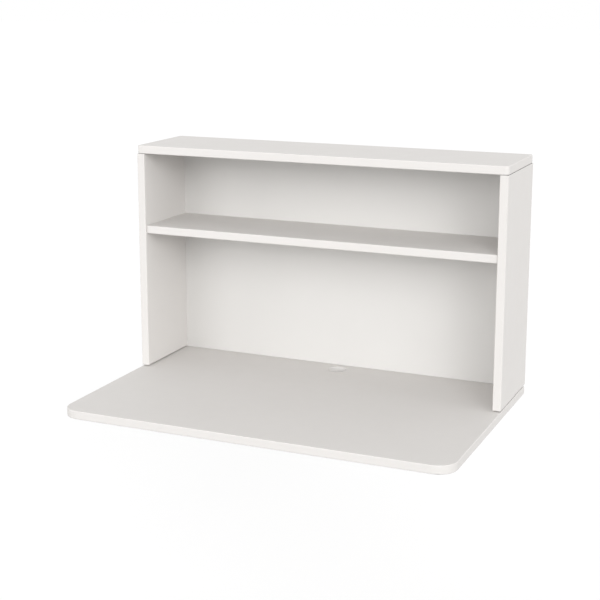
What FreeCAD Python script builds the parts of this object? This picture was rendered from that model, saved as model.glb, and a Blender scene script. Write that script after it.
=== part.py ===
import FreeCAD, Part
import math
import os

import Sketcher
from FreeCAD import Placement, Rotation, Vector

# A wall desk: an open cabinet with one shelf hangs on a bevelled wall cleat, and under it a
# desktop folds down against the wall on two steel folding brackets.
#
# Frame: X to the right as seen from the front, Y into the wall, Z up, in millimetres.
# Y = 0 is the wall plane. The origin is the middle of the wall cleat's row of screws.
# The desk is modelled open, with the desktop level.

DRIVING_SIZES = (
    # cabinet
    ("cabinet_width", 850, "outside width of the cabinet and of the desktop"),
    ("cabinet_depth", 204, "wall to the front edge of the cabinet"),
    ("cabinet_height", 513, "desktop surface to the upper face of the top board"),
    ("top_thickness", 18, "thickness of the top board"),
    ("side_thickness", 18, "thickness of the side panels"),
    ("shelf_thickness", 18, "thickness of the shelf"),
    ("shelf_level", 331, "desktop surface to the upper face of the shelf"),
    ("shelf_setback", 4, "front edge of the shelf behind the front of the sides"),
    ("cabinet_gap", 2.6, "swing gap between the desktop and the side panels"),
    ("edge_radius", 2, "rounding of the boards' long edges"),
    ("top_corner_radius", 8, "rounding of the top board's corners in plan"),
    ("joint_gap", 0.6, "shadow line round the top of each side panel, under the top board"),
    ("joint_gap_depth", 4, "depth of that shadow line from the outer face and the front"),
    # back panel and the cavity behind it
    ("back_thickness", 3, "thickness of the back panel"),
    ("cavity_depth", 13, "wall to the rear face of the back panel"),
    ("panel_gap", 0.6, "gap between the desktop and the back panel"),
    ("groove_depth", 6, "depth of the grooves that hold the back panel"),
    ("groove_play", 0.15, "play of the back panel in its grooves, each way"),
    # rails and wall cleat
    ("rail_thickness", 12, "thickness of the rails and of the cleat"),
    ("hanging_rail_height", 60, "height of the hanging rail at its front face"),
    ("cleat_height", 70, "height of the wall cleat at its front face"),
    ("cleat_end_gap", 27, "space between each end of the cleat and the side panel"),
    ("cleat_screw_rise", 30, "lower edge of the cleat to its row of screws"),
    ("cleat_screw_inset", 80, "end of the cleat to its outer screws"),
    ("lower_rail_height", 52, "height of the rail along the cabinet's lower edge"),
    ("lower_rail_rise", 2, "lower rail above the lower edge of the sides"),
    ("wall_screw_diameter", 6, "holes for the wall screws"),
    ("wall_screw_head", 11, "countersinks of the wall screw holes"),
    # dowels
    ("dowel_diameter", 8, "dowels of the top board and the shelf"),
    ("dowel_length", 30, "length of those dowels"),
    ("dowel_play", 0.1, "play round and past the end of every dowel"),
    ("dowel_chamfer", 1, "chamfer on the ends of every dowel"),
    ("top_dowel_depth", 12, "depth of the dowels in the top board"),
    ("top_dowel_front", 36, "front of the cabinet to the first dowel of the top board"),
    ("top_dowel_rear", 48, "wall to the last dowel of the top board"),
    ("shelf_dowel_depth", 10, "depth of the shelf dowels in the side panels"),
    ("shelf_dowel_inset", 22, "front and rear edge of the shelf to the nearest dowel"),
    ("rail_dowel_diameter", 6, "dowels at the ends of the rails"),
    ("rail_dowel_length", 24, "length of the rail dowels"),
    ("rail_dowel_inset", 14, "edge of a rail to its nearest dowel"),
    ("rail_dowel_spacing", 24, "distance between the two dowels of a rail end"),
    # cam fittings of the shelf
    ("cam_diameter", 15, "cams in the underside of the shelf"),
    ("cam_height", 12.5, "height of a cam"),
    ("cam_play", 0.15, "play round and above a cam"),
    ("cam_setback", 24, "end of the shelf to the middle of a cam"),
    ("cam_slot_width", 7.4, "width of the slot that takes the head of the cam bolt"),
    ("cam_recess_length", 8, "length of the screwdriver cross in a cam"),
    ("cam_recess_width", 1.6, "width of the screwdriver cross in a cam"),
    ("cam_recess_depth", 2, "depth of the screwdriver cross in a cam"),
    ("cam_inset", 50, "front and rear edge of the shelf to the nearest cam"),
    ("cam_bolt_thread", 5.8, "diameter of the cam bolt's thread"),
    ("cam_bolt_depth", 11, "length of the thread in the side panel"),
    ("cam_bolt_shaft", 6.4, "diameter of the cam bolt's shaft"),
    ("cam_bolt_neck", 4, "diameter of the neck behind the bolt's head"),
    ("cam_bolt_head", 6.8, "diameter of the cam bolt's head"),
    ("cam_bolt_bore", 7.5, "hole for the cam bolt in the end of the shelf"),
    # desktop
    ("desktop_thickness", 18, "thickness of the desktop"),
    ("desktop_projection", 342, "front of the cabinet to the front of the desktop"),
    ("desktop_wall_gap", 3, "wall to the rear edge of the desktop"),
    ("rebate_depth", 2.5, "depth of the rebate behind the back panel, for the rear edge's swing"),
    ("rebate_overlap", 2, "rebate beyond each end of the back panel"),
    ("desktop_corner_radius", 40, "rounding of the desktop's front corners in plan"),
    ("cable_hole_diameter", 40, "cable hole through the desktop"),
    ("cable_hole_setback", 51, "wall to the middle of the cable hole"),
    ("cable_hole_rounding", 1.2, "rounding of the rims of the cable hole"),
    ("desktop_edge_radius", 2, "rounding of the desktop's long edges"),
    # folding brackets
    ("bracket_inset", 155, "end of the desktop to the middle of each bracket"),
    ("plate_thickness", 2.5, "sheet steel of the brackets"),
    ("pivot_setback", 17, "wall to the fold pivot"),
    ("pivot_drop", 30, "underside of the desktop to the fold pivot"),
    ("strut_pivot_drop", 120, "fold pivot down to the strut's lower pivot"),
    ("strut_pivot_reach", 16, "strut's lower pivot in front of the fold pivot"),
    ("strut_length", 260, "lower pivot to slot pin"),
    ("slot_pin_rise", 18.5, "slot pin above the fold pivot with the desk open"),
    ("leg_width", 34, "outside width of a wall leg"),
    ("leg_rim", 9, "edge of a cheek to the middle of the pivot beside it"),
    ("leg_top_rise", 16, "fold pivot to the top of the leg's cheeks"),
    ("leg_corner_radius", 7, "rounding of the cheeks' corners"),
    ("tab_width", 30, "width of the leg's upper tab"),
    ("tab_reach", 46, "height of the tab behind the lower rail"),
    ("tab_play", 0.4, "play beside and above the tab in the recess of the lower rail"),
    ("leg_screw_drop", 34, "fold pivot to the upper wall screw of a leg"),
    ("leg_screw_spacing", 64, "distance between the two wall screws of a leg"),
    ("driver_hole_diameter", 13, "holes in an arm through which the wall screws are driven"),
    ("arm_rim", 12, "edge of an arm to the fold pivot, behind and below"),
    ("arm_front_margin", 16, "folded slot pin to the front end of an arm"),
    ("arm_nose_rise", 12, "height of the slanted nose below an arm's front end"),
    ("arm_nose_length", 28, "length of that slanted nose"),
    ("arm_corner_radius", 6, "rounding of an arm's corners"),
    ("washer_thickness", 2, "washers between wall leg and arm"),
    ("washer_diameter", 18, "outside diameter of those washers"),
    ("side_play", 0.25, "play beside each washer, sleeve and strut"),
    ("strut_rim", 8, "edge of a strut's cheek to its pivots"),
    ("strut_web_inset", 24, "strut's web short of each pivot"),
    ("pin_diameter", 8, "pivot pins and slot pins"),
    ("pin_play", 0.08, "running play round a pin"),
    ("slot_play", 0.2, "running play of the slot pin in its slot"),
    ("pin_head_diameter", 12, "heads of the pins"),
    ("pin_head_height", 1.8, "height of a pin head"),
    ("pin_head_bevel", 0.4, "bevel round a pin head"),
    ("low_head_height", 1.4, "height of the heads that pass inside the arm"),
    ("sleeve_diameter", 11, "sleeves on the slot pin"),
    # screws
    ("arm_screw_diameter", 4, "screws that hold an arm to the desktop"),
    ("arm_screw_head", 8, "head of an arm screw"),
    ("arm_screw_length", 17, "length of an arm screw"),
    ("arm_screw_rear", 14, "fold pivot to the first arm screw"),
    ("arm_screw_front", 300, "fold pivot to the third arm screw"),
    ("arm_screw_pair", 52, "distance between the two arm screws of a pair"),
    ("tab_screw_diameter", 3.5, "screws that hold a leg's tab to the lower rail"),
    ("tab_screw_head", 6.6, "head of a tab screw"),
    ("tab_screw_length", 10, "length of a tab screw"),
    ("tab_screw_inset", 10, "top of the tab to its first screw"),
    ("tab_screw_spacing", 22, "distance between the two tab screws"),
    ("screw_tip", 3, "length of a screw's point"),
    ("screw_recess_length", 2.6, "length of the cross in a screw head"),
    ("screw_recess_width", 0.8, "width of the cross in a screw head"),
    ("screw_recess_depth", 1, "depth of the cross in a screw head"),
    ("screw_play", 0.05, "play round a screw"),
)
TOP_DOWEL_COUNT = 3
PAIR = 2
FULL_TURN = 360
SAME_PLACE = 0.01
SIDES = {"left": -1, "right": 1}
SLOT_SAMPLES = 24

doc = FreeCAD.newDocument("wall_desk")
sheet = doc.addObject("Spreadsheet::Sheet", "Sizes")
pieces = []


# ---------------------------------------------------------------- measures and the sheet


class Measure:
    """A length that carries both its spreadsheet formula and its value."""

    def __init__(self, formula, value):
        self.formula = formula
        self.value = value

    def combine(self, sign, other, value):
        return Measure(f"({self.formula} {sign} {as_measure(other).formula})", value)

    def __add__(self, other):
        return self.combine("+", other, self.value + as_measure(other).value)

    def __sub__(self, other):
        return self.combine("-", other, self.value - as_measure(other).value)

    def __mul__(self, other):
        return self.combine("*", other, self.value * as_measure(other).value)

    def __truediv__(self, other):
        return self.combine("/", other, self.value / as_measure(other).value)

    def __neg__(self):
        return self * -1


def as_measure(number):
    return number if isinstance(number, Measure) else Measure(repr(number), number)


def root_of(square):
    return Measure(f"sqrt({square.formula})", math.sqrt(square.value))


def fill_sheet():
    """Write the driving sizes into the sheet and return them by name."""
    cells = {}
    for row, (alias, value, meaning) in enumerate(DRIVING_SIZES, start=1):
        sheet.set(f"A{row}", meaning)
        sheet.set(f"B{row}", str(value))
        sheet.setAlias(f"B{row}", alias)
    doc.recompute()
    for alias, _, _ in DRIVING_SIZES:
        cells[alias] = Measure(f"Sizes.{alias}", float(sheet.get(alias)))
    return cells


size = fill_sheet()


def bind(owner, path, length):
    owner.setExpression(path, as_measure(length).formula)


# ------------------------------------------------------------------- modelling helpers


def new_body(label):
    body = doc.addObject("PartDesign::Body", label)
    body.Label = label
    return body


def new_sketch(body, role, lift=None):
    """A sketch on one of the body's origin planes, lifted along the plane's normal."""
    sketch = body.newObject("Sketcher::SketchObject", body.Name + "_sketch")
    plane = next(item for item in body.Origin.OriginFeatures if item.Role == role)
    sketch.AttachmentSupport = (plane, "")
    sketch.MapMode = "FlatFace"
    if lift is not None:
        bind(sketch, "AttachmentOffset.Base.z", lift)
    return sketch


def fix_point(sketch, line, end, across, upward):
    """Hold one end point of a line at a measured place from the sketch's origin."""
    point = sketch.getPoint(line, end)
    for kind, start, length in (("DistanceX", point.x, across), ("DistanceY", point.y, upward)):
        index = sketch.addConstraint(Sketcher.Constraint(kind, -1, 1, line, end, start))
        bind(sketch, f"Constraints[{index}]", length)


def draw_outline(sketch, corners):
    """A closed outline of straight lines through the corners."""
    places = [Vector(as_measure(x).value, as_measure(y).value, 0) for x, y in corners]
    following = places[1:] + places[:1]
    lines = [sketch.addGeometry(Part.LineSegment(*ends)) for ends in zip(places, following)]
    for line, after in zip(lines, lines[1:] + lines[:1]):
        sketch.addConstraint(Sketcher.Constraint("Coincident", line, 2, after, 1))
    for line, (across, upward) in zip(lines, corners):
        fix_point(sketch, line, 1, across, upward)


def draw_rectangle(sketch, left, low, right, high):
    draw_outline(sketch, ((left, low), (right, low), (right, high), (left, high)))


def draw_circle(sketch, across, upward, diameter):
    middle = Vector(as_measure(across).value, as_measure(upward).value, 0)
    radius = diameter / 2
    circle = sketch.addGeometry(Part.Circle(middle, Vector(0, 0, 1), radius.value))
    fix_point(sketch, circle, 3, across, upward)
    index = sketch.addConstraint(Sketcher.Constraint("Radius", circle, radius.value))
    bind(sketch, f"Constraints[{index}]", radius)


def pad(body, sketch, length, both_ways=False):
    feature = body.newObject("PartDesign::Pad", body.Name + "_pad")
    feature.Profile = sketch
    feature.SideType = "Symmetric" if both_ways else "One side"
    bind(feature, "Length", length)
    doc.recompute()
    return feature


def pocket(body, sketch, depth=None, both_ways=False, along_normal=False):
    """Cut a sketch into the body, through all of it where no depth is given."""
    before = body.Shape.Volume
    feature = body.newObject("PartDesign::Pocket", body.Name + "_pocket")
    feature.Profile = sketch
    feature.SideType = "Symmetric" if both_ways else "One side"
    feature.Reversed = along_normal
    if depth is None:
        feature.Type = "ThroughAll"
    else:
        bind(feature, "Length", depth)
    doc.recompute()
    if not body.Shape.Volume < before:
        raise RuntimeError(f"{feature.Name} cuts nothing")
    return feature


def countersunk_holes(body, sketch, diameter, head, along_normal=False):
    """Countersunk holes through the plate under the sketch, wide on the sketch's side."""
    before = body.Shape.Volume
    doc.recompute()
    feature = body.newObject("PartDesign::Hole", body.Name + "_hole")
    feature.Profile = sketch
    feature.Reversed = along_normal
    feature.DepthType = "ThroughAll"
    feature.HoleCutType = "Countersink"
    feature.HoleCutCustomValues = True
    bind(feature, "Diameter", diameter)
    bind(feature, "HoleCutDiameter", head)
    feature.HoleCutCountersinkAngle = 90
    doc.recompute()
    if not body.Shape.Volume < before:
        raise RuntimeError(f"{feature.Name} cuts nothing")
    return feature


def round_edges(body, radius, chosen):
    """Round the edges of the body's last feature for which chosen(edge) holds."""
    base = body.Tip
    names = [f"Edge{number}" for number, edge in enumerate(base.Shape.Edges, 1) if chosen(edge)]
    if not names:
        raise RuntimeError(f"{body.Name} has no such edge")
    feature = body.newObject("PartDesign::Fillet", body.Name + "_rounding")
    feature.Base = (base, names)
    bind(feature, "Radius", radius)
    doc.recompute()


def turned(label, profile):
    """A body turned about the X axis from an outline of (along, radius) corners."""
    body = new_body(label)
    sketch = new_sketch(body, "XY_Plane")
    draw_outline(sketch, profile)
    feature = body.newObject("PartDesign::Revolution", label + "_turn")
    feature.Profile = sketch
    feature.ReferenceAxis = (sketch, ["H_Axis"])
    feature.Angle = FULL_TURN
    doc.recompute()
    return body


def place(piece, across, into_wall, upward):
    for axis, length in (("x", across), ("y", into_wall), ("z", upward)):
        bind(piece, f"Placement.Base.{axis}", length)


def finish(piece, across, into_wall, upward):
    """Put a sub-part in its place and count it as one of the desk's pieces."""
    place(piece, across, into_wall, upward)
    pieces.append(piece)


def middle_of(edge):
    return edge.BoundBox.Center


def is_at(value, length):
    return abs(value - as_measure(length).value) < SAME_PLACE


def runs_along(edge, axis):
    box = edge.BoundBox
    spans = {"x": box.XLength, "y": box.YLength, "z": box.ZLength}
    others = [span for name, span in spans.items() if name != axis]
    return max(others) < SAME_PLACE < spans[axis]


def copies(label, master, spots):
    """One node with the master's solid at each (across, into wall, upward, rotation)."""
    links = []
    for across, into_wall, upward, rotation in spots:
        link = doc.addObject("App::Link", master.Name + "_copy")
        link.LinkedObject = master
        link.LinkTransform = False
        link.Placement = Placement(Vector(), rotation)
        place(link, across, into_wall, upward)
        links.append(link)
    group = doc.addObject("Part::Compound", label)
    group.Label = label
    group.Links = links
    pieces.append(group)
    return group


ALONG_X = Rotation()
BACK_ALONG_X = Rotation(Vector(0, 0, 1), 180)
UPWARD = Rotation(Vector(0, 1, 0), -90)
OUT_OF_WALL = Rotation(Vector(0, 0, 1), -90)


# ------------------------------------------------------------------------ shared places

half_width = size["cabinet_width"] / 2
inner_half = half_width - size["side_thickness"]
cleat_half = inner_half - size["cleat_end_gap"]
bracket_offset = half_width - size["bracket_inset"]

# Heights above the desktop's surface, then lowered by the height of the cleat's screws.
top_underside = size["cabinet_height"] - size["top_thickness"]
hanging_rail_bottom = top_underside - size["hanging_rail_height"]
rail_to_wall = size["cavity_depth"] - size["rail_thickness"]
cleat_top = hanging_rail_bottom - rail_to_wall
cleat_bottom = cleat_top - size["cleat_height"]
desk_level = -(cleat_bottom + size["cleat_screw_rise"])

desk_underside = desk_level - size["desktop_thickness"]
pivot_level = desk_underside - size["pivot_drop"]
carcass_bottom = desk_level + size["cabinet_gap"]
side_height = top_underside - size["cabinet_gap"]
lower_rail_bottom = carcass_bottom + size["lower_rail_rise"]
shelf_underside = size["shelf_level"] - size["shelf_thickness"]

back_face = size["cavity_depth"] + size["back_thickness"]
shelf_front = -(size["cabinet_depth"] - size["shelf_setback"])
dowel_hole = size["dowel_diameter"] + size["dowel_play"] * 2
rail_dowel_hole = size["rail_dowel_diameter"] + size["dowel_play"] * 2
rail_dowel_depth = size["rail_dowel_length"] / 2 + size["dowel_play"]
rail_middle = -(rail_to_wall + size["rail_thickness"] / 2)


def row_of(first, spacing, count=PAIR):
    return [first + spacing * number for number in range(count)]


def top_dowel_rows():
    first = -(size["cabinet_depth"] - size["top_dowel_front"])
    spacing = (-size["top_dowel_rear"] - first) / (TOP_DOWEL_COUNT - 1)
    return row_of(first, spacing, TOP_DOWEL_COUNT)


def top_dowel_places():
    """Places of the top board's dowels in plan."""
    for hand in SIDES.values():
        across = (half_width - size["side_thickness"] / 2) * hand
        for row in top_dowel_rows():
            yield across, row


def shelf_dowel_rows():
    return shelf_front + size["shelf_dowel_inset"], -(back_face + size["shelf_dowel_inset"])


def shelf_cam_rows():
    return shelf_front + size["cam_inset"], -(back_face + size["cam_inset"])


def rail_dowel_rows(rail_bottom):
    return row_of(rail_bottom + size["rail_dowel_inset"], size["rail_dowel_spacing"])


hanging_rail_level = desk_level + hanging_rail_bottom
rail_dowel_heights = rail_dowel_rows(hanging_rail_level) + rail_dowel_rows(lower_rail_bottom)


# ------------------------------------------------------------------------------ cabinet


def make_top_board():
    body = new_body("top_board")
    plan = new_sketch(body, "XY_Plane")
    draw_rectangle(plan, -half_width, -size["cabinet_depth"], half_width, 0)
    pad(body, plan, size["top_thickness"])
    round_edges(body, size["top_corner_radius"], lambda edge: runs_along(edge, "z"))
    round_edges(body, size["edge_radius"], lambda edge: not runs_along(edge, "z"))
    groove = new_sketch(body, "XY_Plane")
    reach = inner_half + size["groove_depth"]
    front = -(back_face + size["groove_play"])
    rear = -(size["cavity_depth"] - size["groove_play"])
    draw_rectangle(groove, -reach, front, reach, rear)
    pocket(body, groove, size["groove_depth"], along_normal=True)
    holes = new_sketch(body, "XY_Plane")
    for across, into_wall in top_dowel_places():
        draw_circle(holes, across, into_wall, dowel_hole)
    pocket(body, holes, size["top_dowel_depth"] + size["dowel_play"], along_normal=True)
    finish(body, 0, 0, desk_level + top_underside)


def drill_side(body, hand, spots, diameter, depth):
    """Holes in the inner face of a side panel, at places given in the desk's frame."""
    drilled = new_sketch(body, "YZ_Plane", size["side_thickness"] * -hand)
    for row, height in spots:
        draw_circle(drilled, row, height - carcass_bottom, diameter)
    pocket(body, drilled, depth, along_normal=hand > 0)


def make_side(name, hand):
    """A side panel; its body's X runs from the outer face inwards, mirrored by hand."""
    body = new_body("side_" + name)
    inner = size["side_thickness"] * -hand
    depth = size["cabinet_depth"]
    plan = new_sketch(body, "XY_Plane")
    draw_rectangle(plan, 0, -depth, inner, 0)
    pad(body, plan, side_height)

    def is_rounded(edge):
        at_rear = is_at(middle_of(edge).y, 0)
        under_top = is_at(middle_of(edge).z, side_height) and is_at(middle_of(edge).x, inner)
        return not at_rear and not under_top

    round_edges(body, size["edge_radius"], is_rounded)

    shadow_line = new_sketch(body, "XY_Plane", side_height)
    strip = size["joint_gap_depth"]
    draw_outline(
        shadow_line,
        (
            (0, 0),
            (0, -depth),
            (inner, -depth),
            (inner, strip - depth),
            (strip * -hand, strip - depth),
            (strip * -hand, 0),
        ),
    )
    pocket(body, shadow_line, size["joint_gap"])

    groove = new_sketch(body, "XY_Plane")
    groove_front = -(back_face + size["groove_play"])
    groove_rear = -(size["cavity_depth"] - size["groove_play"])
    groove_floor = inner + size["groove_depth"] * hand
    draw_rectangle(groove, groove_floor, groove_front, inner, groove_rear)
    pocket(body, groove, side_height, along_normal=True)

    top_holes = new_sketch(body, "XY_Plane", side_height)
    for row in top_dowel_rows():
        draw_circle(top_holes, inner / 2, row, dowel_hole)
    pocket(body, top_holes, size["dowel_length"] - size["top_dowel_depth"] + size["dowel_play"])

    # Holes in the inner face, drilled outwards.
    shelf_line = desk_level + shelf_underside + size["shelf_thickness"] / 2
    dowels = [(row, shelf_line) for row in shelf_dowel_rows()]
    bolts = [(row, shelf_line) for row in shelf_cam_rows()]
    rails = [(rail_middle, height) for height in rail_dowel_heights]
    thread_hole = size["cam_bolt_thread"] + size["screw_play"] * 2
    thread_depth = size["cam_bolt_depth"] + size["screw_play"]
    drill_side(body, hand, dowels, dowel_hole, size["shelf_dowel_depth"] + size["dowel_play"])
    drill_side(body, hand, bolts, thread_hole, thread_depth)
    drill_side(body, hand, rails, rail_dowel_hole, rail_dowel_depth)
    finish(body, half_width * hand, 0, carcass_bottom)


def make_shelf():
    body = new_body("shelf")
    plan = new_sketch(body, "XY_Plane")
    draw_rectangle(plan, -inner_half, shelf_front, inner_half, -back_face)
    pad(body, plan, size["shelf_thickness"])
    round_edges(body, size["edge_radius"], lambda edge: is_at(middle_of(edge).y, shelf_front))

    cams = new_sketch(body, "XY_Plane")
    for hand in SIDES.values():
        for row in shelf_cam_rows():
            middle = (inner_half - size["cam_setback"]) * hand
            draw_circle(cams, middle, row, size["cam_diameter"] + size["cam_play"] * 2)
    pocket(body, cams, size["cam_height"] + size["cam_play"], along_normal=True)

    for hand in SIDES.values():
        dowels = new_sketch(body, "YZ_Plane", inner_half * hand)
        bolts = new_sketch(body, "YZ_Plane", inner_half * hand)
        for row in shelf_dowel_rows():
            draw_circle(dowels, row, size["shelf_thickness"] / 2, dowel_hole)
        for row in shelf_cam_rows():
            draw_circle(bolts, row, size["shelf_thickness"] / 2, size["cam_bolt_bore"])
        depth = size["dowel_length"] - size["shelf_dowel_depth"] + size["dowel_play"]
        pocket(body, dowels, depth, along_normal=hand < 0)
        pocket(body, bolts, size["cam_setback"], along_normal=hand < 0)
    finish(body, 0, 0, desk_level + shelf_underside)


def make_back_panel():
    body = new_body("back_panel")
    face = new_sketch(body, "XZ_Plane")
    reach = inner_half + size["groove_depth"] - size["groove_play"]
    height = top_underside + size["groove_depth"] - size["groove_play"] - size["panel_gap"]
    draw_rectangle(face, -reach, 0, reach, height)
    pad(body, face, size["back_thickness"])
    finish(body, 0, -size["cavity_depth"], desk_level + size["panel_gap"])


def drill_rail_ends(body, rail_bottom):
    for hand in SIDES.values():
        ends = new_sketch(body, "YZ_Plane", inner_half * hand)
        for height in rail_dowel_rows(rail_bottom):
            draw_circle(ends, rail_middle, height - rail_bottom, rail_dowel_hole)
        pocket(body, ends, rail_dowel_depth, along_normal=hand < 0)


def make_hanging_rail():
    """The cabinet's upper rail; its bevelled lower edge hooks over the wall cleat."""
    body = new_body("hanging_rail")
    section = new_sketch(body, "YZ_Plane")
    front = -size["cavity_depth"]
    rear = -rail_to_wall
    corners = (
        (front, 0),
        (rear, -size["rail_thickness"]),
        (rear, size["hanging_rail_height"]),
        (front, size["hanging_rail_height"]),
    )
    draw_outline(section, corners)
    pad(body, section, inner_half * 2, both_ways=True)
    drill_rail_ends(body, hanging_rail_level)
    finish(body, 0, 0, hanging_rail_level)


def make_wall_cleat():
    """The board that is screwed to the wall; its bevel rises towards the room."""
    body = new_body("wall_cleat")
    section = new_sketch(body, "YZ_Plane")
    low = -size["cleat_screw_rise"]
    high = low + size["cleat_height"]
    depth = size["rail_thickness"]
    corners = ((-depth, low), (0, low), (0, high - depth), (-depth, high))
    draw_outline(section, corners)
    pad(body, section, cleat_half * 2, both_ways=True)
    holes = new_sketch(body, "XZ_Plane", depth)
    outer = cleat_half - size["cleat_screw_inset"]
    for reach in (outer / 3, outer):
        for hand in SIDES.values():
            draw_circle(holes, reach * hand, 0, size["wall_screw_diameter"])
    countersunk_holes(body, holes, size["wall_screw_diameter"], size["wall_screw_head"])
    finish(body, 0, 0, 0)


def tab_screw_heights():
    """Heights of the tab screws above the fold pivot."""
    first = tab_top - size["tab_screw_inset"]
    return [first - size["tab_screw_spacing"] * number for number in range(PAIR)]


def make_lower_rail():
    """The rail behind the cabinet's lower edge, with a recess for each leg's tab."""
    body = new_body("lower_rail")
    section = new_sketch(body, "YZ_Plane")
    draw_rectangle(section, -size["cavity_depth"], 0, -rail_to_wall, size["lower_rail_height"])
    pad(body, section, inner_half * 2, both_ways=True)
    recess_depth = size["plate_thickness"] - rail_to_wall
    recess_half = size["tab_width"] / 2 + size["tab_play"]
    recess_top = size["tab_reach"] + size["tab_play"]
    recesses = new_sketch(body, "XZ_Plane", rail_to_wall)
    for hand in SIDES.values():
        middle = bracket_offset * hand
        draw_rectangle(recesses, middle - recess_half, 0, middle + recess_half, recess_top)
    pocket(body, recesses, recess_depth, along_normal=True)
    pilots = new_sketch(body, "XZ_Plane", rail_to_wall)
    pilot_diameter = size["tab_screw_diameter"] + size["screw_play"] * 2
    for hand in SIDES.values():
        for height in tab_screw_heights():
            rise = pivot_level + height - lower_rail_bottom
            draw_circle(pilots, bracket_offset * hand, rise, pilot_diameter)
    pilot_depth = size["tab_screw_length"] - rail_to_wall + size["screw_play"]
    pocket(body, pilots, pilot_depth, along_normal=True)
    drill_rail_ends(body, lower_rail_bottom)
    finish(body, 0, 0, lower_rail_bottom)


def dowel_master(label, diameter, length):
    """A chamfered dowel from X = 0 to its length."""
    radius = diameter / 2
    chamfer = size["dowel_chamfer"]
    profile = (
        (0, 0),
        (0, radius - chamfer),
        (chamfer, radius),
        (length - chamfer, radius),
        (length, radius - chamfer),
        (length, 0),
    )
    return turned(label, profile)


def pairs_from_sides(start, places):
    """Spots for fasteners that start at +-start and run towards the middle of the desk."""
    spots = [(-start, into_wall, height, ALONG_X) for into_wall, height in places]
    return spots + [(start, into_wall, height, BACK_ALONG_X) for into_wall, height in places]


def make_dowels():
    dowel = dowel_master("dowel_master", size["dowel_diameter"], size["dowel_length"])
    foot = desk_level + top_underside + size["top_dowel_depth"] - size["dowel_length"]
    copies("top_dowels", dowel, [(x, y, foot, UPWARD) for x, y in top_dowel_places()])

    line = desk_level + shelf_underside + size["shelf_thickness"] / 2
    places = [(row, line) for row in shelf_dowel_rows()]
    copies("shelf_dowels", dowel, pairs_from_sides(inner_half + size["shelf_dowel_depth"], places))

    slim = dowel_master("rail_dowel_master", size["rail_dowel_diameter"], size["rail_dowel_length"])
    places = [(rail_middle, height) for height in rail_dowel_heights]
    copies("rail_dowels", slim, pairs_from_sides(inner_half + size["rail_dowel_length"] / 2, places))


def cut_cross(body, length, width, depth):
    """A screwdriver cross in the face at X = 0 of a piece turned about X."""
    for reach, breadth in ((length / 2, width / 2), (width / 2, length / 2)):
        recess = new_sketch(body, "YZ_Plane")
        draw_rectangle(recess, -reach, -breadth, reach, breadth)
        pocket(body, recess, depth, along_normal=True)


def cam_master():
    """A cam that stands on X = 0, with X up the shelf's thickness and Y to the side panel."""
    radius = size["cam_diameter"] / 2
    high = size["cam_height"]
    cam = turned("cam_master", ((0, 0), (0, radius), (high, radius), (high, 0)))
    line = size["shelf_thickness"] / 2
    half_slot = size["cam_slot_width"] / 2
    slot = new_sketch(cam, "XY_Plane")
    draw_rectangle(slot, line - half_slot, -half_slot, line + half_slot, size["cam_diameter"])
    pocket(cam, slot, size["cam_slot_width"], both_ways=True)
    cut_cross(cam, size["cam_recess_length"], size["cam_recess_width"], size["cam_recess_depth"])
    return cam


def cam_bolt_master():
    """A bolt whose thread starts at X = 0 and whose head ends in the middle of the cam."""
    thread = size["cam_bolt_thread"] / 2
    shaft = size["cam_bolt_shaft"] / 2
    neck = size["cam_bolt_neck"] / 2
    head = size["cam_bolt_head"] / 2
    shoulder = size["cam_bolt_depth"]
    head_start = shoulder + size["cam_setback"] - head / 2
    neck_start = shoulder + size["cam_setback"] - size["cam_diameter"] / 2
    profile = (
        (0, 0),
        (0, thread),
        (shoulder, thread),
        (shoulder, shaft),
        (neck_start, shaft),
        (neck_start, neck),
        (head_start, neck),
        (head_start, head),
        (head_start + head, head),
        (head_start + head, 0),
    )
    return turned("cam_bolt_master", profile)


def make_cam_fittings():
    """Cams in the shelf's underside, and the bolts in the side panels that they pull."""
    bottom = desk_level + shelf_underside
    spots = []
    for hand in SIDES.values():
        facing = Rotation(Vector(0, 0, 1), -90 * hand).multiply(UPWARD)
        across = (inner_half - size["cam_setback"]) * hand
        spots += [(across, row, bottom, facing) for row in shelf_cam_rows()]
    copies("shelf_cams", cam_master(), spots)
    places = [(row, bottom + size["shelf_thickness"] / 2) for row in shelf_cam_rows()]
    bolt_spots = pairs_from_sides(inner_half + size["cam_bolt_depth"], places)
    copies("shelf_cam_bolts", cam_bolt_master(), bolt_spots)


# ------------------------------------------------------------------------------ desktop

desk_front = -(size["cabinet_depth"] + size["desktop_projection"])
arm_screw_reaches = [
    size[start] + size["arm_screw_pair"] * number
    for start in ("arm_screw_rear", "arm_screw_front")
    for number in range(PAIR)
]


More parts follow.
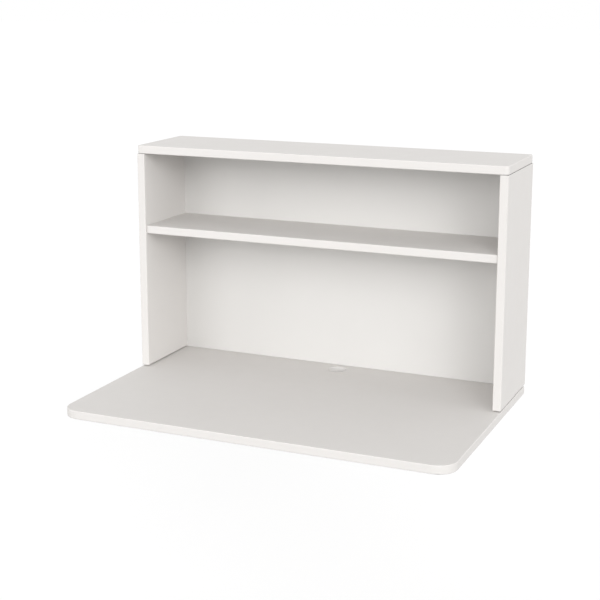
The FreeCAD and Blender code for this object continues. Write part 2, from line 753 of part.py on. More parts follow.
def make_desktop():
    body = new_body("desktop")
    plan = new_sketch(body, "XY_Plane")
    draw_rectangle(plan, -half_width, desk_front, half_width, -size["desktop_wall_gap"])
    pad(body, plan, size["desktop_thickness"])
    round_edges(
        body,
        size["desktop_corner_radius"],
        lambda edge: runs_along(edge, "z") and is_at(middle_of(edge).y, desk_front),
    )
    round_edges(body, size["desktop_edge_radius"], lambda edge: not runs_along(edge, "z"))
    rebate = new_sketch(body, "XY_Plane", size["desktop_thickness"])
    reach = inner_half + size["groove_depth"] + size["rebate_overlap"]
    draw_rectangle(rebate, -reach, -size["cavity_depth"], reach, 0)
    pocket(body, rebate, size["rebate_depth"])
    hole = new_sketch(body, "XY_Plane")
    draw_circle(hole, 0, -size["cable_hole_setback"], size["cable_hole_diameter"])
    pocket(body, hole, along_normal=True)
    rim = size["cable_hole_diameter"]
    round_edges(
        body,
        size["cable_hole_rounding"],
        lambda edge: is_at(edge.BoundBox.XLength, rim) and is_at(edge.BoundBox.YLength, rim),
    )
    pilots = new_sketch(body, "XY_Plane")
    pilot_diameter = size["arm_screw_diameter"] + size["screw_play"] * 2
    for hand in SIDES.values():
        for reach in arm_screw_reaches:
            row = -(size["pivot_setback"] + reach)
            draw_circle(pilots, bracket_offset * hand, row, pilot_diameter)
    pilot_depth = size["arm_screw_length"] - size["plate_thickness"] + size["screw_play"]
    pocket(body, pilots, pilot_depth, along_normal=True)
    finish(body, 0, 0, desk_underside)


# --------------------------------------------------------------------- folding brackets
#
# Each bracket has a wall leg, an arm under the desktop and a strut between them. The strut
# turns on the leg, and its slot pin runs along a curved slot in the arm. The curve is cut so
# that the strut turns by a constant multiple of the desktop's angle.


leg_half = size["leg_width"] / 2
arm_inner_half = leg_half + size["washer_thickness"] + size["side_play"]
arm_half = arm_inner_half + size["plate_thickness"]
strut_half = leg_half - size["plate_thickness"] - size["side_play"]
strut_inner_half = strut_half - size["plate_thickness"]
wall = size["pivot_setback"]
tab_top = lower_rail_bottom - pivot_level + size["tab_reach"]
pin_hole = size["pin_diameter"] + size["pin_play"] * 2
folded_reach = size["strut_pivot_drop"] + size["strut_length"]
slot_pin_climb = size["strut_pivot_drop"] + size["slot_pin_rise"]
slot_pin_reach = size["strut_pivot_reach"] + root_of(
    size["strut_length"] * size["strut_length"] - slot_pin_climb * slot_pin_climb
)


def finish_on_bracket(piece, hand, outward=0, upward=0):
    """Place a piece by its distance outward and upward from the bracket's fold pivot."""
    row = -(size["pivot_setback"] + outward)
    finish(piece, bracket_offset * hand, row, pivot_level + upward)


def draw_leg_cheek(body):
    """Side view of a leg, around the fold pivot and the strut's lower pivot."""
    cheek = new_sketch(body, "YZ_Plane")
    nose = -(size["strut_pivot_reach"] + size["leg_rim"])
    bottom = -(size["strut_pivot_drop"] + size["leg_rim"])
    corners = (
        (wall, size["leg_top_rise"]),
        (-size["leg_rim"], size["leg_top_rise"]),
        (nose, -size["strut_pivot_drop"] / 2),
        (nose, bottom),
        (wall, bottom),
    )
    draw_outline(cheek, corners)
    return cheek


def make_leg(name, hand):
    """A channel against the wall, with a flat tab up behind the cabinet's lower rail."""
    body = new_body("bracket_leg_" + name)
    pad(body, draw_leg_cheek(body), size["leg_width"], both_ways=True)
    round_edges(
        body,
        size["leg_corner_radius"],
        lambda edge: runs_along(edge, "x") and not is_at(middle_of(edge).y, wall),
    )
    channel = new_sketch(body, "XY_Plane")
    inside = leg_half - size["plate_thickness"]
    draw_rectangle(channel, -inside, -folded_reach, inside, wall - size["plate_thickness"])
    pocket(body, channel, both_ways=True)

    tab = new_sketch(body, "XZ_Plane", -wall)
    tab_half = size["tab_width"] / 2
    draw_rectangle(tab, -tab_half, 0, tab_half, tab_top)
    pad(body, tab, size["plate_thickness"])
    round_edges(
        body,
        size["leg_corner_radius"],
        lambda edge: runs_along(edge, "y") and is_at(middle_of(edge).z, tab_top),
    )
    pivots = new_sketch(body, "YZ_Plane")
    draw_circle(pivots, 0, 0, pin_hole)
    draw_circle(pivots, -size["strut_pivot_reach"], -size["strut_pivot_drop"], pin_hole)
    pocket(body, pivots, both_ways=True)
    drill_leg(body)
    finish_on_bracket(body, hand)


def drill_leg(body):
    """Plain holes for the wall screws, and countersunk ones at the wall for the tab screws."""
    wall_screws = new_sketch(body, "XZ_Plane", -wall)
    for drop in row_of(size["leg_screw_drop"], size["leg_screw_spacing"]):
        draw_circle(wall_screws, 0, -drop, size["wall_screw_diameter"])
    pocket(body, wall_screws, size["plate_thickness"], along_normal=True)
    tab_screws = new_sketch(body, "XZ_Plane", -wall)
    diameter = size["tab_screw_diameter"] + size["screw_play"] * 2
    for height in tab_screw_heights():
        draw_circle(tab_screws, 0, height, diameter)
    countersunk_holes(body, tab_screws, diameter, size["tab_screw_head"], along_normal=True)


def strut_slope():
    """The strut's angle above level with the desk open, in radians."""
    return math.asin(slot_pin_climb.value / size["strut_length"].value)


def slot_point(share):
    """Middle of the slot at a share of the fold, from open (0) to folded (1).

    The arm sees the strut's lower pivot swing round the fold pivot, while the strut turns
    evenly from its open slope to lying along the arm.
    """
    fold = math.pi / 2 * share
    slope = strut_slope() * (1 - share)
    reach = size["strut_pivot_reach"].value
    drop = size["strut_pivot_drop"].value
    length = size["strut_length"].value
    forward = reach * math.cos(fold) + drop * math.sin(fold) + length * math.cos(slope)
    upward = reach * math.sin(fold) - drop * math.cos(fold) + length * math.sin(slope)
    return Vector(0, -forward, upward)


def slot_course(share):
    """Direction in which the slot runs on at a share of the fold."""
    step = 1 / SLOT_SAMPLES ** PAIR
    return (slot_point(share + step) - slot_point(share - step)).normalize()


def slot_flank(distance):
    """A smooth curve at an even distance beside the middle of the slot."""
    points = []
    for number in range(SLOT_SAMPLES + 1):
        share = number / SLOT_SAMPLES
        course = slot_course(share)
        points.append(slot_point(share) + Vector(0, -course.z, course.y) * distance)
    curve = Part.BSplineCurve()
    curve.interpolate(points)
    return curve.toShape()


def make_slot_cutter():
    """The curved slot with round ends, as deep as the arm is wide."""
    half = size["pin_diameter"].value / 2 + size["slot_play"].value
    flanks = [slot_flank(half), slot_flank(-half)]
    ends = []
    for share, end in ((0, 0), (1, -1)):
        outward = slot_course(share) * (half if share else -half)
        corners = [flank.Vertexes[end].Point for flank in flanks]
        ends.append(Part.Arc(corners[0], slot_point(share) + outward, corners[1]).toShape())
    outline = Part.Wire(Part.sortEdges(flanks + ends)[0])
    face = Part.Face(outline)
    face.translate(Vector(-arm_half.value, 0, 0))
    cutter = doc.addObject("Part::Feature", "slot_cutter")
    cutter.Shape = face.extrude(Vector(arm_half.value * 2, 0, 0))
    return cutter


def make_arm_blank():
    """A channel under the desktop, open downwards, before the slot is cut."""
    body = new_body("arm_blank")
    top = size["pivot_drop"]
    low = -size["arm_rim"]
    front = -(folded_reach + size["arm_front_margin"])
    cheek = new_sketch(body, "YZ_Plane")
    corners = (
        (size["arm_rim"], top),
        (size["arm_rim"], low),
        (front + size["arm_nose_length"], low),
        (front, low + size["arm_nose_rise"]),
        (front, top),
    )
    draw_outline(cheek, corners)
    pad(body, cheek, arm_half * 2, both_ways=True)

    def is_low(edge):
        return runs_along(edge, "x") and not is_at(middle_of(edge).z, top)

    round_edges(
        body,
        size["arm_rim"],
        lambda edge: is_low(edge) and is_at(middle_of(edge).y, size["arm_rim"]),
    )
    round_edges(
        body,
        size["arm_corner_radius"],
        lambda edge: is_low(edge) and middle_of(edge).y < (front / 2).value,
    )
    channel = new_sketch(body, "XZ_Plane")
    web = top - size["plate_thickness"]
    draw_rectangle(channel, -arm_inner_half, low * 2, arm_inner_half, web)
    pocket(body, channel, both_ways=True)
    pivot = new_sketch(body, "YZ_Plane")
    draw_circle(pivot, 0, 0, pin_hole)
    pocket(body, pivot, both_ways=True)

    driver_holes = new_sketch(body, "XY_Plane", top)
    for reach in row_of(size["leg_screw_drop"], size["leg_screw_spacing"]):
        draw_circle(driver_holes, 0, -reach, size["driver_hole_diameter"])
    pocket(body, driver_holes, size["plate_thickness"])
    screws = new_sketch(body, "XY_Plane", web)
    diameter = size["arm_screw_diameter"] + size["screw_play"] * 2
    for reach in arm_screw_reaches:
        draw_circle(screws, 0, -reach, diameter)
    countersunk_holes(body, screws, diameter, size["arm_screw_head"], along_normal=True)
    return body


def make_arms():
    blank = make_arm_blank()
    cutter = make_slot_cutter()
    for name, hand in SIDES.items():
        arm = doc.addObject("Part::Cut", "bracket_arm_" + name)
        arm.Label = "bracket_arm_" + name
        arm.Base = blank
        arm.Tool = cutter
        finish_on_bracket(arm, hand)


def make_strut(name, hand):
    """A channel with rounded ends, built level and outward from its lower pivot."""
    body = new_body("bracket_strut_" + name)
    rim = size["strut_rim"]
    far = -size["strut_length"]
    cheek = new_sketch(body, "YZ_Plane")
    draw_rectangle(cheek, far - rim, -rim, rim, rim)
    pad(body, cheek, strut_half * 2, both_ways=True)
    channel = new_sketch(body, "XZ_Plane")
    draw_rectangle(channel, -strut_inner_half, size["plate_thickness"] - rim, strut_inner_half, rim)
    pocket(body, channel, both_ways=True)
    inset = size["strut_web_inset"]
    for near, end in ((-inset, rim), (far - rim, far + inset)):
        gap = new_sketch(body, "XY_Plane")
        draw_rectangle(gap, -strut_inner_half, near, strut_inner_half, end)
        pocket(body, gap, both_ways=True)
    pivots = new_sketch(body, "YZ_Plane")
    draw_circle(pivots, 0, 0, pin_hole)
    draw_circle(pivots, far, 0, pin_hole)
    pocket(body, pivots, both_ways=True)
    tips = (rim, far - rim)
    round_edges(
        body,
        rim - size["pin_play"],
        lambda edge: runs_along(edge, "x") and any(is_at(middle_of(edge).y, tip) for tip in tips),
    )
    finish_on_bracket(body, hand, size["strut_pivot_reach"], -size["strut_pivot_drop"])
    slope = f"-asin({slot_pin_climb.formula} / Sizes.strut_length)"
    body.Placement.Rotation = Rotation(Vector(1, 0, 0), 0)
    body.setExpression("Placement.Rotation.Angle", slope)


def make_pin(label, hand, half_length, head_height, outward=0, upward=0):
    """A pin along X with a bevelled head at each end."""
    shank = size["pin_diameter"] / 2
    rim = size["pin_head_diameter"] / 2
    bevel = size["pin_head_bevel"]
    end = half_length + head_height
    half = ((half_length, shank), (half_length, rim), (end - bevel, rim), (end, rim - bevel), (end, 0))
    profile = [(-along, radius) for along, radius in reversed(half)] + list(half)
    finish_on_bracket(turned(label, profile), hand, outward, upward)


def ring_master(label, start, end, diameter):
    """A ring round the pin from start to end along X."""
    bore = pin_hole / 2
    rim = diameter / 2
    return turned(label, ((start, bore), (start, rim), (end, rim), (end, bore)))


def make_rings(name, hand, master, outward=0, upward=0):
    """The same ring on both sides of the bracket's middle."""
    across = bracket_offset * hand
    row = -(size["pivot_setback"] + outward)
    height = pivot_level + upward
    copies(name, master, [(across, row, height, facing) for facing in (ALONG_X, BACK_ALONG_X)])


def screw_master(label, diameter, head, length):
    """A countersunk screw along X, with its head at X = 0."""
    shank = diameter / 2
    rim = head / 2
    profile = (
        (0, 0),
        (0, rim),
        (rim - shank, shank),
        (length - size["screw_tip"], shank),
        (length, 0),
    )
    screw = turned(label, profile)
    recess = (size["screw_recess_length"], size["screw_recess_width"], size["screw_recess_depth"])
    cut_cross(screw, *recess)
    return screw


def make_bracket_screws():
    """Screws from each arm up into the desktop and from each tab into the lower rail."""
    arm_measures = [size["arm_screw_" + part] for part in ("diameter", "head", "length")]
    tab_measures = [size["tab_screw_" + part] for part in ("diameter", "head", "length")]
    arm_screw = screw_master("arm_screw_master", *arm_measures)
    tab_screw = screw_master("tab_screw_master", *tab_measures)
    web = pivot_level + size["pivot_drop"] - size["plate_thickness"]
    for name, hand in SIDES.items():
        across = bracket_offset * hand
        rows = [-(size["pivot_setback"] + reach) for reach in arm_screw_reaches]
        copies("arm_screws_" + name, arm_screw, [(across, row, web, UPWARD) for row in rows])
        heights = [pivot_level + height for height in tab_screw_heights()]
        copies("tab_screws_" + name, tab_screw, [(across, 0, height, OUT_OF_WALL) for height in heights])


def make_brackets():
    washer_end = leg_half + size["washer_thickness"]
    washer = ring_master("washer_master", leg_half, washer_end, size["washer_diameter"])
    sleeve_end = arm_inner_half - size["side_play"]
    sleeve = ring_master("sleeve_master", strut_half, sleeve_end, size["sleeve_diameter"])
    long_pin = arm_half + size["side_play"]
    drop = -size["strut_pivot_drop"]
    make_arms()
    for name, hand in SIDES.items():
        make_leg(name, hand)
        make_strut(name, hand)
        make_pin("fold_pin_" + name, hand, long_pin, size["pin_head_height"])
        reach = size["strut_pivot_reach"]
        make_pin("strut_pin_" + name, hand, leg_half, size["low_head_height"], reach, drop)
        slot_pin = (slot_pin_reach, size["slot_pin_rise"])
        make_pin("slot_pin_" + name, hand, long_pin, size["pin_head_height"], *slot_pin)
        make_rings("fold_washers_" + name, hand, washer)
        make_rings("slot_sleeves_" + name, hand, sleeve, *slot_pin)
    make_bracket_screws()


# ------------------------------------------------------------------------ build and write


def build_desk():
    make_top_board()
    for name, hand in SIDES.items():
        make_side(name, hand)
    make_shelf()
    make_back_panel()
    make_hanging_rail()
    make_wall_cleat()
    make_lower_rail()
    make_dowels()
    make_cam_fittings()
    make_desktop()
    make_brackets()
    doc.recompute()


def check_desk():
    failed = [item.Name for item in doc.Objects if {"Invalid", "Error"} & set(item.State)]
    failed += [piece.Label for piece in pieces if piece.Shape.isNull() or not piece.Shape.isValid()]
    if failed:
        raise RuntimeError("failed: " + ", ".join(failed))


def write_desk():
    os.makedirs("parts", exist_ok=True)
    for piece in pieces:
        piece.Shape.exportStep(f"parts/{piece.Label}.step")


build_desk()
check_desk()
write_desk()
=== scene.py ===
import math

import bpy
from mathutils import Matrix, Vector


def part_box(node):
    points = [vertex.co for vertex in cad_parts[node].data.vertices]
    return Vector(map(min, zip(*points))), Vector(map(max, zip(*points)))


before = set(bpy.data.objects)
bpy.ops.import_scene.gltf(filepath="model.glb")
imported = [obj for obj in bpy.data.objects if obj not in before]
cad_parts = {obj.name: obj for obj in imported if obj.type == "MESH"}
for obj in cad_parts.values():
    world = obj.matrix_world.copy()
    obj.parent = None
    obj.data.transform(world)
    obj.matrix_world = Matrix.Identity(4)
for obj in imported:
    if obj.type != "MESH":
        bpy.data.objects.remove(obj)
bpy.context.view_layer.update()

# Looks for a wall desk, in metres, in the desk's own frame: X right, Y into the wall, Z up.
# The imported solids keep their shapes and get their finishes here, and a studio round them.

# Camera: its place, its direction from the front towards the right and down, and its lens.
CAMERA_PLACE = (1.0727, -2.7484, 0.4831)
CAMERA_AZIMUTH = 23.656
CAMERA_ELEVATION = 11.996
FOCAL_PIXELS = 1315.02
IMAGE_PIXELS = 600
SENSOR_WIDTH = 36.0
LENS_CENTRE = (293.55, 258.41)

# Floor: the desktop hangs at about the height of a table. The glow is only seen, and lifts the
# lit floor just past white, so that the desk's shadow still shows.
FLOOR_DROP = 0.72
FLOOR_HALF = 40.0
FLOOR_TONE = 0.45
FLOOR_GLOW = 0.525
FLOOR_ROUGHNESS = 0.9

# Lamps: name, azimuth from the front towards the right, elevation, strength. All are wide and soft.
LIGHTS = (
    ("window_left", -60.0, 8.0, 0.65),
    ("softbox_front", -20.0, 8.0, 0.79),
    ("key_right", 30.0, 25.0, 0.81),
    ("softbox_right", 45.0, 12.0, 0.90),
    ("softbox_side", 85.0, 15.0, 0.61),
)
LIGHT_WIDTH = 30.0
LIGHT_DISTANCE = 4.0
WORLD_LIGHT = 0.83
WORLD_SEEN = 1.0
WHITE = (1.0, 1.0, 1.0, 1.0)

# Tones of the finishes from dark to light, in linear colour.
BOARD_WHITES = ((0.642, 0.623, 0.605), (0.652, 0.633, 0.615))
PANEL_WHITES = ((0.633, 0.623, 0.608), (0.645, 0.635, 0.619))
FIBRE_BROWNS = ((0.180, 0.105, 0.052), (0.300, 0.190, 0.105))
BIRCH_TONES = ((0.560, 0.400, 0.245), (0.660, 0.500, 0.325), (0.720, 0.565, 0.385))
PLY_TONES = ((0.330, 0.205, 0.105), (0.640, 0.475, 0.300))
BEECH_TONES = ((0.420, 0.255, 0.140), (0.610, 0.420, 0.260))
# Dark greys painted on the sides' upper ends as the shade in the joint under the top board.
JOINT_SHADE_GREYS = ((0.250, 0.250, 0.242), (0.300, 0.300, 0.290))
COAT_WHITES = ((0.672, 0.672, 0.664), (0.700, 0.700, 0.692))
ZINC_GREYS = ((0.500, 0.505, 0.515), (0.660, 0.665, 0.675))

# Fine patterns of the finishes, in metres.
SCREEN_SPACING = 0.0016
PLY_PAIR = 0.0034
FLUTE_SPACING = 0.0012

# Shares by which a surface faces one way, above which it counts as a rear or a flat face.
REAR_FACE = 0.5
FLAT_FACE = 0.9

# How much the bare fibres at the panel's rear add to its relief and to its roughness.
FIBRE_RELIEF = 0.3
FIBRE_ROUGHNESS = 0.3

# What Blender's textures give: nearly all of a noise lies in this range, and a wave texture of
# scale 1 repeats after this length.
NOISE_RANGE = (0.3, 0.7)
WAVE_PERIOD = math.pi / 10


# ------------------------------------------------------------------------- materials


class Nodes:
    """A material under construction: makes nodes and links their sockets."""

    def __init__(self, name):
        self.material = bpy.data.materials.new(name)
        self.material.use_nodes = True
        self.tree = self.material.node_tree
        self.shader = self.tree.nodes["Principled BSDF"]

    def add(self, kind, **values):
        """A node with its settings, in small letters, and its sockets' values, in capitals."""
        node = self.tree.nodes.new(kind)
        for key, value in values.items():
            if key[0].isupper():
                node.inputs[key.replace("_", " ")].default_value = value
            else:
                setattr(node, key, value)
        return node

    def link(self, output, target):
        self.tree.links.new(output, target)

    def place(self, stretch=(1, 1, 1)):
        """Coordinates in metres on the desk, multiplied along its axes by stretch."""
        coordinates = self.add("ShaderNodeTexCoord")
        mapping = self.add("ShaderNodeMapping", Scale=stretch)
        self.link(coordinates.outputs["Object"], mapping.inputs["Vector"])
        return mapping.outputs["Vector"]

    def facing(self, axis):
        """Share by which the surface faces along an axis: for Y, 1 at a rear and -1 at a front."""
        coordinates = self.add("ShaderNodeTexCoord")
        parts = self.add("ShaderNodeSeparateXYZ")
        self.link(coordinates.outputs["Normal"], parts.inputs["Vector"])
        return parts.outputs[axis]

    def math(self, operation, first, second=0.0):
        """The result of an operation on two sockets or numbers."""
        node = self.add("ShaderNodeMath", operation=operation)
        for socket, value in zip(node.inputs, (first, second)):
            if isinstance(value, (int, float)):
                socket.default_value = value
            else:
                self.link(value, socket)
        return node.outputs["Value"]

    def noise(self, scale, detail, stretch=(1, 1, 1), roughness=0.5):
        """Noise with about as many lumps to the metre as the scale says."""
        noise = self.add("ShaderNodeTexNoise", Scale=scale, Detail=detail, Roughness=roughness)
        self.link(self.place(stretch), noise.inputs["Vector"])
        return noise.outputs["Fac"]

    def bands(self, axis, spacing, waver=0.0):
        """Even stripes across an axis, one for each spacing in metres."""
        scale = WAVE_PERIOD / spacing
        wave = self.add("ShaderNodeTexWave", bands_direction=axis, Scale=scale, Distortion=waver)
        wave.inputs["Detail"].default_value = 1.0
        self.link(self.place(), wave.inputs["Vector"])
        return wave.outputs["Fac"]

    def ramp(self, value, tones, positions=NOISE_RANGE):
        """Tones that follow each other where the value passes their positions."""
        ramp = self.add("ShaderNodeValToRGB")
        elements = ramp.color_ramp.elements
        while len(elements) < len(tones):
            elements.new(0.5)
        for element, position, tone in zip(elements, positions, tones):
            element.position = position
            element.color = (*tone, 1.0)
        self.link(value, ramp.inputs["Fac"])
        return ramp.outputs["Color"]

    def spread(self, value, low, high):
        """Map a noise's usual range to the range from low to high."""
        spread = self.add("ShaderNodeMapRange", To_Min=low, To_Max=high)
        for name, limit in zip(("From Min", "From Max"), NOISE_RANGE):
            spread.inputs[name].default_value = limit
        self.link(value, spread.inputs["Value"])
        return spread.outputs["Result"]

    def blend(self, share, first, second):
        """The first colour where share is 0 and the second where it is 1."""
        mix = self.add("ShaderNodeMix", data_type="RGBA")
        sockets = {socket.identifier: socket for socket in mix.inputs}
        self.link(share, sockets["Factor_Float"])
        self.link(first, sockets["A_Color"])
        self.link(second, sockets["B_Color"])
        return next(socket for socket in mix.outputs if socket.identifier == "Result_Color")

    def bump(self, height, distance, strength):
        """Bump by a height from 0 to 1 that stands for the distance in metres."""
        bump = self.add("ShaderNodeBump", Strength=strength, Distance=distance)
        self.link(height, bump.inputs["Height"])
        self.link(bump.outputs["Normal"], self.shader.inputs["Normal"])

    def finish(self, colour=None, roughness=None, **numbers):
        """Link the shader's colour and roughness, and set plain numbers on its own sockets."""
        if colour:
            self.link(colour, self.shader.inputs["Base Color"])
        if roughness:
            self.link(roughness, self.shader.inputs["Roughness"])
        for name, value in numbers.items():
            self.shader.inputs[name.replace("_", " ")].default_value = value
        return self.material


def board_white(nodes):
    """White with a faint drift of tone."""
    return nodes.ramp(nodes.noise(scale=5.0, detail=4.0), BOARD_WHITES)


def lacquer(nodes, colour):
    """A coat of matt lacquer with uneven sheen and fine orange peel."""
    sheen = nodes.spread(nodes.noise(scale=38.0, detail=5.0), low=0.54, high=0.64)
    nodes.bump(nodes.noise(scale=900.0, detail=2.0), distance=0.00006, strength=0.35)
    return nodes.finish(colour, sheen, IOR=1.46, Specular_IOR_Level=0.3)


def board_lacquer():
    """White board, lacquered all round."""
    nodes = Nodes("board_lacquer")
    return lacquer(nodes, board_white(nodes))


def side_lacquer_painted_joint_shade():
    """White board whose upper end, in the joint under the top board, is coloured dark grey as painted
    shade of that joint.
    """
    nodes = Nodes("side_lacquer_painted_joint_shade")
    # Painted shade: the upward faces of the sides, in the joint under the top board, are coloured dark
    # grey.
    painted_shade_mask = nodes.math("GREATER_THAN", nodes.facing("Z"), FLAT_FACE)
    painted_joint_shade = nodes.ramp(nodes.noise(scale=350.0, detail=5.0, roughness=0.7), JOINT_SHADE_GREYS)
    return lacquer(nodes, nodes.blend(painted_shade_mask, board_white(nodes), painted_joint_shade))


def panel_lacquer():
    """Hardboard: white lacquer in front, bare brown fibres with a screen's imprint behind."""
    nodes = Nodes("panel_lacquer")
    rear = nodes.math("GREATER_THAN", nodes.facing("Y"), REAR_FACE)
    white = nodes.ramp(nodes.noise(scale=4.0, detail=4.0), PANEL_WHITES)
    fibres = nodes.noise(scale=420.0, detail=6.0, roughness=0.7)
    brown = nodes.ramp(fibres, FIBRE_BROWNS)
    screen = nodes.math("MULTIPLY", nodes.bands("X", SCREEN_SPACING), nodes.bands("Z", SCREEN_SPACING))
    imprint = nodes.math("MULTIPLY", screen, rear)
    height = nodes.math("ADD", imprint, nodes.math("MULTIPLY", fibres, FIBRE_RELIEF))
    nodes.bump(height, distance=0.0001, strength=0.5)
    rougher = nodes.math("MULTIPLY", rear, FIBRE_ROUGHNESS)
    rough = nodes.math("ADD", rougher, nodes.spread(fibres, low=0.56, high=0.66))
    return nodes.finish(nodes.blend(rear, white, brown), rough, IOR=1.46, Specular_IOR_Level=0.3)


def plywood():
    """Birch plywood: long grain on its faces, plies at its edges."""
    nodes = Nodes("plywood")
    grain = nodes.noise(scale=14.0, detail=6.0, stretch=(0.35, 6.0, 6.0), roughness=0.6)
    face = nodes.ramp(grain, BIRCH_TONES, positions=(0.3, 0.55, 0.75))
    edge = nodes.ramp(nodes.bands("Y", PLY_PAIR, waver=0.25), PLY_TONES, positions=(0.35, 0.6))
    at_edge = nodes.math("LESS_THAN", nodes.math("ABSOLUTE", nodes.facing("Y")), FLAT_FACE)
    pores = nodes.noise(scale=60.0, detail=5.0, stretch=(0.2, 8.0, 8.0))
    nodes.bump(pores, distance=0.00012, strength=0.5)
    rough = nodes.spread(grain, low=0.58, high=0.72)
    return nodes.finish(nodes.blend(at_edge, face, edge), rough)


def beech():
    """Beech dowels: even pinkish wood with short dark flecks and pressed flutes."""
    nodes = Nodes("beech")
    flecks = nodes.noise(scale=260.0, detail=4.0, stretch=(0.5, 1.0, 0.5), roughness=0.65)
    tone = nodes.ramp(flecks, BEECH_TONES, positions=(0.32, 0.5))
    nodes.bump(nodes.bands("Y", FLUTE_SPACING), distance=0.0002, strength=0.6)
    return nodes.finish(tone, nodes.spread(flecks, low=0.55, high=0.68))


def powder_coat():
    """White powder coat over sheet steel, with its fine grainy skin."""
    nodes = Nodes("powder_coat")
    tone = nodes.ramp(nodes.noise(scale=9.0, detail=3.0), COAT_WHITES)
    grain = nodes.noise(scale=1300.0, detail=2.0)
    nodes.bump(grain, distance=0.00009, strength=0.6)
    return nodes.finish(tone, nodes.spread(grain, low=0.42, high=0.56), IOR=1.5)


def zinc():
    """Bright zinc plating with soft clouds and turning marks."""
    nodes = Nodes("zinc")
    clouds = nodes.noise(scale=320.0, detail=5.0, roughness=0.6)
    marks = nodes.noise(scale=2600.0, detail=2.0, stretch=(3.0, 0.4, 0.4))
    nodes.bump(marks, distance=0.00003, strength=0.5)
    sheen = nodes.spread(clouds, low=0.26, high=0.42)
    return nodes.finish(nodes.ramp(clouds, ZINC_GREYS), sheen, Metallic=1.0)


def assign(material, *names):
    """Give a material to CAD nodes in place of the one they came with."""
    for name in names:
        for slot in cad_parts[name].material_slots:
            slot.material = material


def both(*stems):
    """The left and right node of each pair."""
    return [f"{stem}_{side}" for stem in stems for side in ("left", "right")]


def make_materials():
    assign(board_lacquer(), "top_board", "shelf", "desktop")
    assign(side_lacquer_painted_joint_shade(), *both("side"))
    assign(panel_lacquer(), "back_panel")
    assign(plywood(), "hanging_rail", "wall_cleat", "lower_rail")
    assign(beech(), "top_dowels", "shelf_dowels", "rail_dowels")
    assign(powder_coat(), *both("bracket_leg", "bracket_arm", "bracket_strut"))
    pivots = both("fold_pin", "strut_pin", "slot_pin", "fold_washers", "slot_sleeves")
    screws = both("arm_screws", "tab_screws")
    assign(zinc(), "shelf_cams", "shelf_cam_bolts", *pivots, *screws)


# ---------------------------------------------------------------- floor, light, camera


def make_floor():
    desk_low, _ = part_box("desktop")
    level = desk_low[2] - FLOOR_DROP
    turns = ((-1, -1), (1, -1), (1, 1), (-1, 1))
    corners = [(x * FLOOR_HALF, y * FLOOR_HALF, level) for x, y in turns]
    mesh = bpy.data.meshes.new("floor")
    mesh.from_pydata(corners, [], [(0, 1, 2, 3)])
    floor = bpy.data.objects.new("floor", mesh)
    bpy.context.collection.objects.link(floor)
    mesh.materials.append(floor_paint())


def floor_paint():
    """Matt white that also glows a little where it is seen, and lights nothing by that."""
    nodes = Nodes("floor_paint")
    tone = (FLOOR_TONE, FLOOR_TONE, FLOOR_TONE, 1.0)
    nodes.finish(Base_Color=tone, Roughness=FLOOR_ROUGHNESS, Specular_IOR_Level=0.0)
    matt = nodes.shader.outputs["BSDF"]
    glow = nodes.add("ShaderNodeEmission", Strength=FLOOR_GLOW)
    glowing = nodes.add("ShaderNodeAddShader")
    nodes.link(matt, glowing.inputs[0])
    nodes.link(glow.outputs["Emission"], glowing.inputs[1])
    choice = nodes.add("ShaderNodeMixShader")
    nodes.link(seen_directly(nodes.tree), choice.inputs["Fac"])
    nodes.link(matt, choice.inputs[1])
    nodes.link(glowing.outputs["Shader"], choice.inputs[2])
    nodes.link(choice.outputs["Shader"], nodes.tree.nodes["Material Output"].inputs["Surface"])
    return nodes.material


def seen_directly(tree):
    """1 for rays from the camera and for those reflected or passed on from it, otherwise 0."""
    path = tree.nodes.new("ShaderNodeLightPath")
    seen = path.outputs["Is Camera Ray"]
    for name in ("Is Glossy Ray", "Is Transmission Ray"):
        either = tree.nodes.new("ShaderNodeMath")
        either.operation = "MAXIMUM"
        tree.links.new(seen, either.inputs[0])
        tree.links.new(path.outputs[name], either.inputs[1])
        seen = either.outputs["Value"]
    return seen


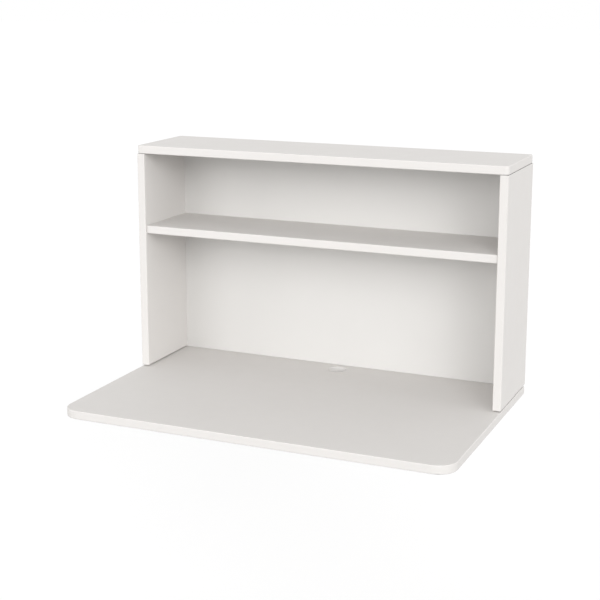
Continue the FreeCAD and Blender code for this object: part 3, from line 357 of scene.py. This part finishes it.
def make_world():
    """White all round: one strength lights the desk, the other is what is seen."""
    world = bpy.data.worlds.new("studio")
    bpy.context.scene.world = world
    world.use_nodes = True
    tree = world.node_tree
    tree.nodes.clear()
    choice = tree.nodes.new("ShaderNodeMixShader")
    tree.links.new(seen_directly(tree), choice.inputs["Fac"])
    for socket, strength in ((1, WORLD_LIGHT), (2, WORLD_SEEN)):
        background = tree.nodes.new("ShaderNodeBackground")
        background.inputs["Color"].default_value = WHITE
        background.inputs["Strength"].default_value = strength
        tree.links.new(background.outputs["Background"], choice.inputs[socket])
    output = tree.nodes.new("ShaderNodeOutputWorld")
    tree.links.new(choice.outputs["Shader"], output.inputs["Surface"])


def direction(azimuth, elevation):
    """A unit vector towards the front, turned to the right by azimuth and raised by elevation."""
    turn, rise = math.radians(azimuth), math.radians(elevation)
    return Vector((math.sin(turn) * math.cos(rise), -math.cos(turn) * math.cos(rise), math.sin(rise)))


def aim(holder, ahead):
    """Put a lamp or the camera in the scene, looking ahead and upright."""
    holder.rotation_mode = "QUATERNION"
    holder.rotation_quaternion = ahead.to_track_quat("-Z", "Y")
    bpy.context.collection.objects.link(holder)


def make_lights():
    """Lamps that light every surface but leave no glare, so that no view of the top burns out."""
    for name, azimuth, elevation, strength in LIGHTS:
        lamp = bpy.data.lights.new(name, "SUN")
        lamp.angle = math.radians(LIGHT_WIDTH)
        lamp.energy = strength
        source = direction(azimuth, elevation)
        holder = bpy.data.objects.new(name, lamp)
        holder.location = source * LIGHT_DISTANCE
        holder.visible_glossy = False
        aim(holder, -source)


def make_camera():
    lens = bpy.data.cameras.new("camera")
    lens.sensor_fit = "HORIZONTAL"
    lens.sensor_width = SENSOR_WIDTH
    lens.lens = FOCAL_PIXELS / IMAGE_PIXELS * SENSOR_WIDTH
    lens.shift_x = 0.5 - LENS_CENTRE[0] / IMAGE_PIXELS
    lens.shift_y = LENS_CENTRE[1] / IMAGE_PIXELS - 0.5
    camera = bpy.data.objects.new("camera", lens)
    camera.location = CAMERA_PLACE
    aim(camera, -direction(CAMERA_AZIMUTH, CAMERA_ELEVATION))
    bpy.context.scene.camera = camera


make_camera()
make_materials()
make_floor()
make_world()
make_lights()
bpy.context.scene.view_settings.view_transform = "Standard"
